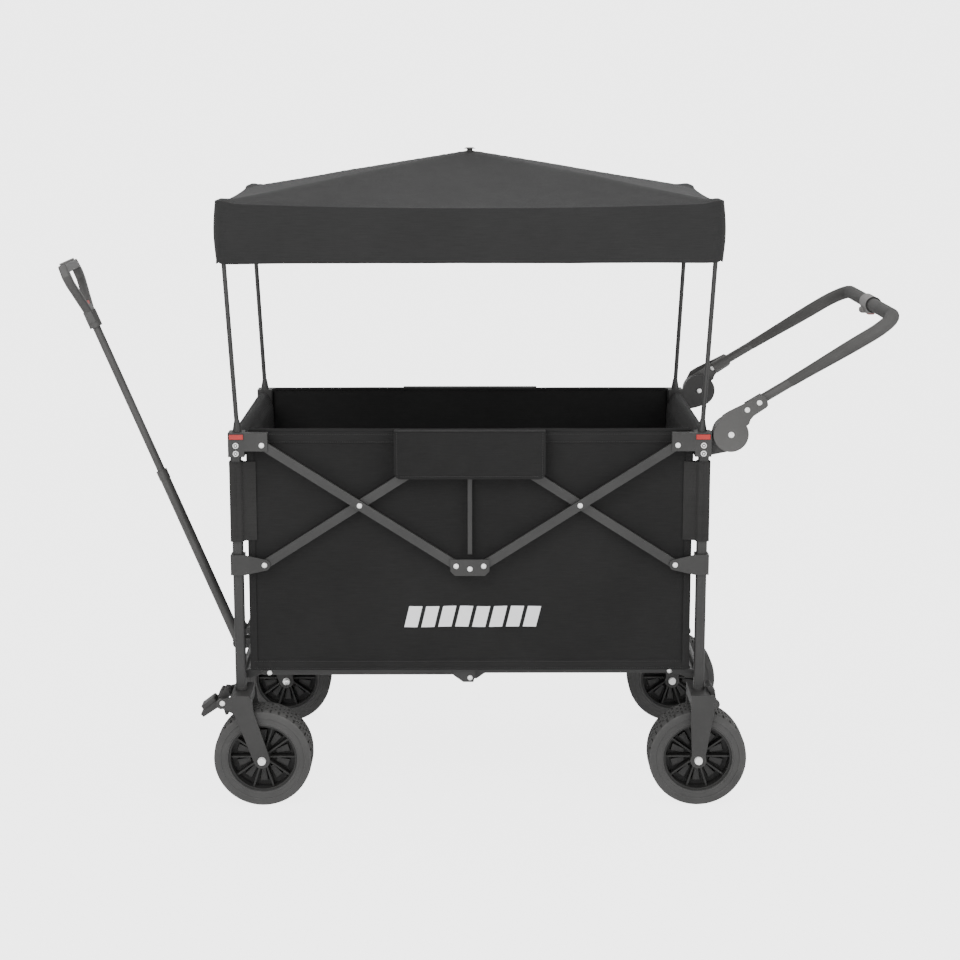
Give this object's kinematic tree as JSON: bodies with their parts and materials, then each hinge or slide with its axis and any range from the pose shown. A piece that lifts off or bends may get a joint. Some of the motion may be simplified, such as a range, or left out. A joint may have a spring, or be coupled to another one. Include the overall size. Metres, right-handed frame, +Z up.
{
  "type": "folding kids wagon",
  "caption": "Folding four-wheel pull wagon with a fabric tub on scissor side frames, lift-off canopy, hinged push handle and telescoping pull handle.",
  "frame": {"origin": "on the floor under the middle of the wagon", "axes": "+X towards the rear end with the push handle, +Y to the wagon's far side in the main view, +Z up"},
  "size_m": [1.4837, 0.576, 1.1494],
  "materials": {
    "frame_paint": "satin",
    "bright_metal": "polished",
    "dark_plastic": "matt, fine grain",
    "grey_plastic": "matt",
    "red_plastic": "semi-gloss",
    "tyre_rubber": "matt",
    "tub_cloth": "woven polyester",
    "canopy_cloth": "woven polyester",
    "foam": "closed-cell foam"
  },
  "bodies": {
    "front_frame": {"front_legs": "frame_paint", "front_top_tube": "frame_paint", "front_low_tube": "frame_paint", "front_brackets": "dark_plastic", "front_leg_caps": "dark_plastic", "front_panel": "tub_cloth", "front_poles": "frame_paint", "front_elbows": "dark_plastic", "side_walls": "tub_cloth", "floor_mat": "tub_cloth"},
    "front_long_bars": {"front_long_bars": "frame_paint"},
    "front_cross_bars": {"front_cross_bars": "frame_paint"},
    "front_sliders": {"front_sliders": "dark_plastic"},
    "top_hubs": {"top_hubs": "dark_plastic", "hub_flaps": "tub_cloth"},
    "lower_hubs": {"lower_hubs": "frame_paint"},
    "rear_long_bars": {"rear_long_bars": "frame_paint"},
    "rear_cross_bars": {"rear_cross_bars": "frame_paint"},
    "rear_sliders": {"rear_sliders": "dark_plastic"},
    "rear_frame": {"rear_legs": "frame_paint", "rear_top_tube": "frame_paint", "rear_low_tube": "frame_paint", "rear_brackets": "dark_plastic", "rear_panel": "tub_cloth", "rear_poles": "frame_paint", "rear_elbows": "dark_plastic", "rear_forks": "frame_paint", "rear_axles": "bright_metal"},
    "front_rails": {"front_rails": "frame_paint"},
    "rear_rails": {"rear_rails": "frame_paint"},
    "caster_near": {"caster_fork_near": "frame_paint", "front_axle_near": "bright_metal"},
    "caster_far": {"caster_fork_far": "frame_paint", "front_axle_far": "bright_metal"},
    "front_wheel_near": {"front_tyre_near": "tyre_rubber", "front_rim_near": "dark_plastic"},
    "front_wheel_far": {"front_tyre_far": "tyre_rubber", "front_rim_far": "dark_plastic"},
    "rear_wheel_near": {"rear_tyre_near": "tyre_rubber", "rear_rim_near": "dark_plastic"},
    "rear_wheel_far": {"rear_tyre_far": "tyre_rubber", "rear_rim_far": "dark_plastic"},
    "front_pedal_near": {"front_pedal_near": "grey_plastic"},
    "front_pedal_far": {"front_pedal_far": "grey_plastic"},
    "rear_pedal_near": {"rear_pedal_near": "grey_plastic"},
    "rear_pedal_far": {"rear_pedal_far": "grey_plastic"},
    "pull_lower": {"pull_lower_tube": "grey_plastic"},
    "pull_upper": {"pull_upper_tube": "grey_plastic", "pull_grip": "grey_plastic", "pull_pad": "foam"},
    "pull_button": {"pull_button": "red_plastic"},
    "push_handle": {"push_arms": "dark_plastic", "push_tube": "frame_paint", "push_foam": "foam", "release_housing": "grey_plastic"},
    "release_button": {"release_button": "red_plastic"},
    "canopy": {"canopy_roof": "canopy_cloth", "canopy_hub": "dark_plastic", "canopy_ribs": "frame_paint"}
  },
  "joints": [
    {"name": "fold", "type": "hinge", "parent": "front_frame", "child": "front_long_bars", "pos_m": [-0.358, 0, 0.6485], "axis": [0, 1, 0], "range_deg": [0, 49], "deforming": ["side_walls", "floor_mat", "hub_flaps", "canopy_roof", "canopy_ribs", "canopy_hub"]},
    {"name": "front_cross", "type": "hinge", "parent": "front_long_bars", "child": "front_cross_bars", "pos_m": [-0.191, 0, 0.54175], "axis": [0, 1, 0], "range_deg": [-98, 0]},
    {"name": "front_slider_pivot", "type": "hinge", "parent": "front_cross_bars", "child": "front_sliders", "pos_m": [-0.358, 0, 0.435], "axis": [0, 1, 0], "range_deg": [0, 49]},
    {"name": "top_hub_pivot", "type": "hinge", "parent": "front_cross_bars", "child": "top_hubs", "pos_m": [-0.024, 0, 0.6485], "axis": [0, 1, 0], "range_deg": [0, 49]},
    {"name": "lower_hub_pivot", "type": "hinge", "parent": "front_long_bars", "child": "lower_hubs", "pos_m": [-0.024, 0, 0.435], "axis": [0, 1, 0], "range_deg": [-49, 0]},
    {"name": "rear_bar_pivot", "type": "hinge", "parent": "lower_hubs", "child": "rear_long_bars", "pos_m": [0.024, 0, 0.435], "axis": [0, 1, 0], "range_deg": [-49, 0]},
    {"name": "rear_frame_pivot", "type": "hinge", "parent": "rear_long_bars", "child": "rear_frame", "pos_m": [0.358, 0, 0.6485], "axis": [0, 1, 0], "range_deg": [0, 49]},
    {"name": "rear_cross", "type": "hinge", "parent": "rear_long_bars", "child": "rear_cross_bars", "pos_m": [0.191, 0, 0.54175], "axis": [0, 1, 0], "range_deg": [0, 98]},
    {"name": "rear_slider_pivot", "type": "hinge", "parent": "rear_cross_bars", "child": "rear_sliders", "pos_m": [0.358, 0, 0.435], "axis": [0, 1, 0], "range_deg": [-49, 0]},
    {"name": "front_rail_hinge", "type": "hinge", "parent": "front_frame", "child": "front_rails", "pos_m": [-0.365, 0, 0.234], "axis": [0, 1, 0], "range_deg": [-77.63, 0]},
    {"name": "rear_rail_hinge", "type": "hinge", "parent": "rear_frame", "child": "rear_rails", "pos_m": [0.365, 0, 0.234], "axis": [0, 1, 0], "range_deg": [0, 77.63]},
    {"name": "caster_swivel_near", "type": "hinge", "parent": "front_frame", "child": "caster_near", "pos_m": [-0.405, -0.24, 0.206], "axis": [0, 0, 1], "continuous": true},
    {"name": "caster_swivel_far", "type": "hinge", "parent": "front_frame", "child": "caster_far", "pos_m": [-0.405, 0.24, 0.206], "axis": [0, 0, 1], "continuous": true},
    {"name": "front_wheel_spin_near", "type": "hinge", "parent": "caster_near", "child": "front_wheel_near", "pos_m": [-0.367, -0.24, 0.087], "axis": [0, 1, 0], "continuous": true},
    {"name": "front_wheel_spin_far", "type": "hinge", "parent": "caster_far", "child": "front_wheel_far", "pos_m": [-0.367, 0.24, 0.087], "axis": [0, 1, 0], "continuous": true},
    {"name": "rear_wheel_spin_near", "type": "hinge", "parent": "rear_frame", "child": "rear_wheel_near", "pos_m": [0.403, -0.24, 0.087], "axis": [0, 1, 0], "continuous": true},
    {"name": "rear_wheel_spin_far", "type": "hinge", "parent": "rear_frame", "child": "rear_wheel_far", "pos_m": [0.403, 0.24, 0.087], "axis": [0, 1, 0], "continuous": true},
    {"name": "front_brake_near", "type": "hinge", "parent": "caster_near", "child": "front_pedal_near", "pos_m": [-0.436, -0.24, 0.191], "axis": [0, -1, 0], "range_deg": [0, 18]},
    {"name": "front_brake_far", "type": "hinge", "parent": "caster_far", "child": "front_pedal_far", "pos_m": [-0.436, 0.24, 0.191], "axis": [0, -1, 0], "range_deg": [0, 18]},
    {"name": "rear_brake_near", "type": "hinge", "parent": "rear_frame", "child": "rear_pedal_near", "pos_m": [0.43, -0.24, 0.19], "axis": [0, 1, 0], "range_deg": [0, 22]},
    {"name": "rear_brake_far", "type": "hinge", "parent": "rear_frame", "child": "rear_pedal_far", "pos_m": [0.43, 0.24, 0.19], "axis": [0, 1, 0], "range_deg": [0, 22]},
    {"name": "pull_handle_hinge", "type": "hinge", "parent": "front_frame", "child": "pull_lower", "pos_m": [-0.436, 0, 0.226], "axis": [0, -1, 0], "range_deg": [-16, 72]},
    {"name": "pull_tube_slide", "type": "slide", "parent": "pull_lower", "child": "pull_upper", "axis": [0.3827, 0, -0.9239], "range_m": [0, 0.275]},
    {"name": "grip_button_slide", "type": "slide", "parent": "pull_upper", "child": "pull_button", "axis": [0.3827, 0, -0.9239], "range_m": [0, 0.004], "stiffness_N_per_m": 500},
    {"name": "push_handle_hinge", "type": "hinge", "parent": "rear_frame", "child": "push_handle", "pos_m": [0.449, 0, 0.667], "axis": [0, 1, 0], "range_deg": [-28, 112]},
    {"name": "release_button_slide", "type": "slide", "parent": "push_handle", "child": "release_button", "axis": [0, 0, 1], "range_m": [0, 0.003], "stiffness_N_per_m": 500},
    {"name": "canopy_lift", "type": "slide", "parent": "front_frame", "child": "canopy", "axis": [0, 0, 1], "range_m": [0, 0.25]}
  ],
  "couplings": [
    {"joint": "front_cross", "follows": "fold", "ratio": -2},
    {"joint": "front_slider_pivot", "follows": "fold", "ratio": 1},
    {"joint": "top_hub_pivot", "follows": "fold", "ratio": 1},
    {"joint": "lower_hub_pivot", "follows": "fold", "ratio": -1},
    {"joint": "rear_bar_pivot", "follows": "fold", "ratio": -1},
    {"joint": "rear_frame_pivot", "follows": "fold", "ratio": 1},
    {"joint": "rear_cross", "follows": "fold", "ratio": 2},
    {"joint": "rear_slider_pivot", "follows": "fold", "ratio": -1},
    {"joint": "front_rail_hinge", "follows": "fold", "ratio": -1.5841},
    {"joint": "rear_rail_hinge", "follows": "fold", "ratio": 1.5841}
  ]
}
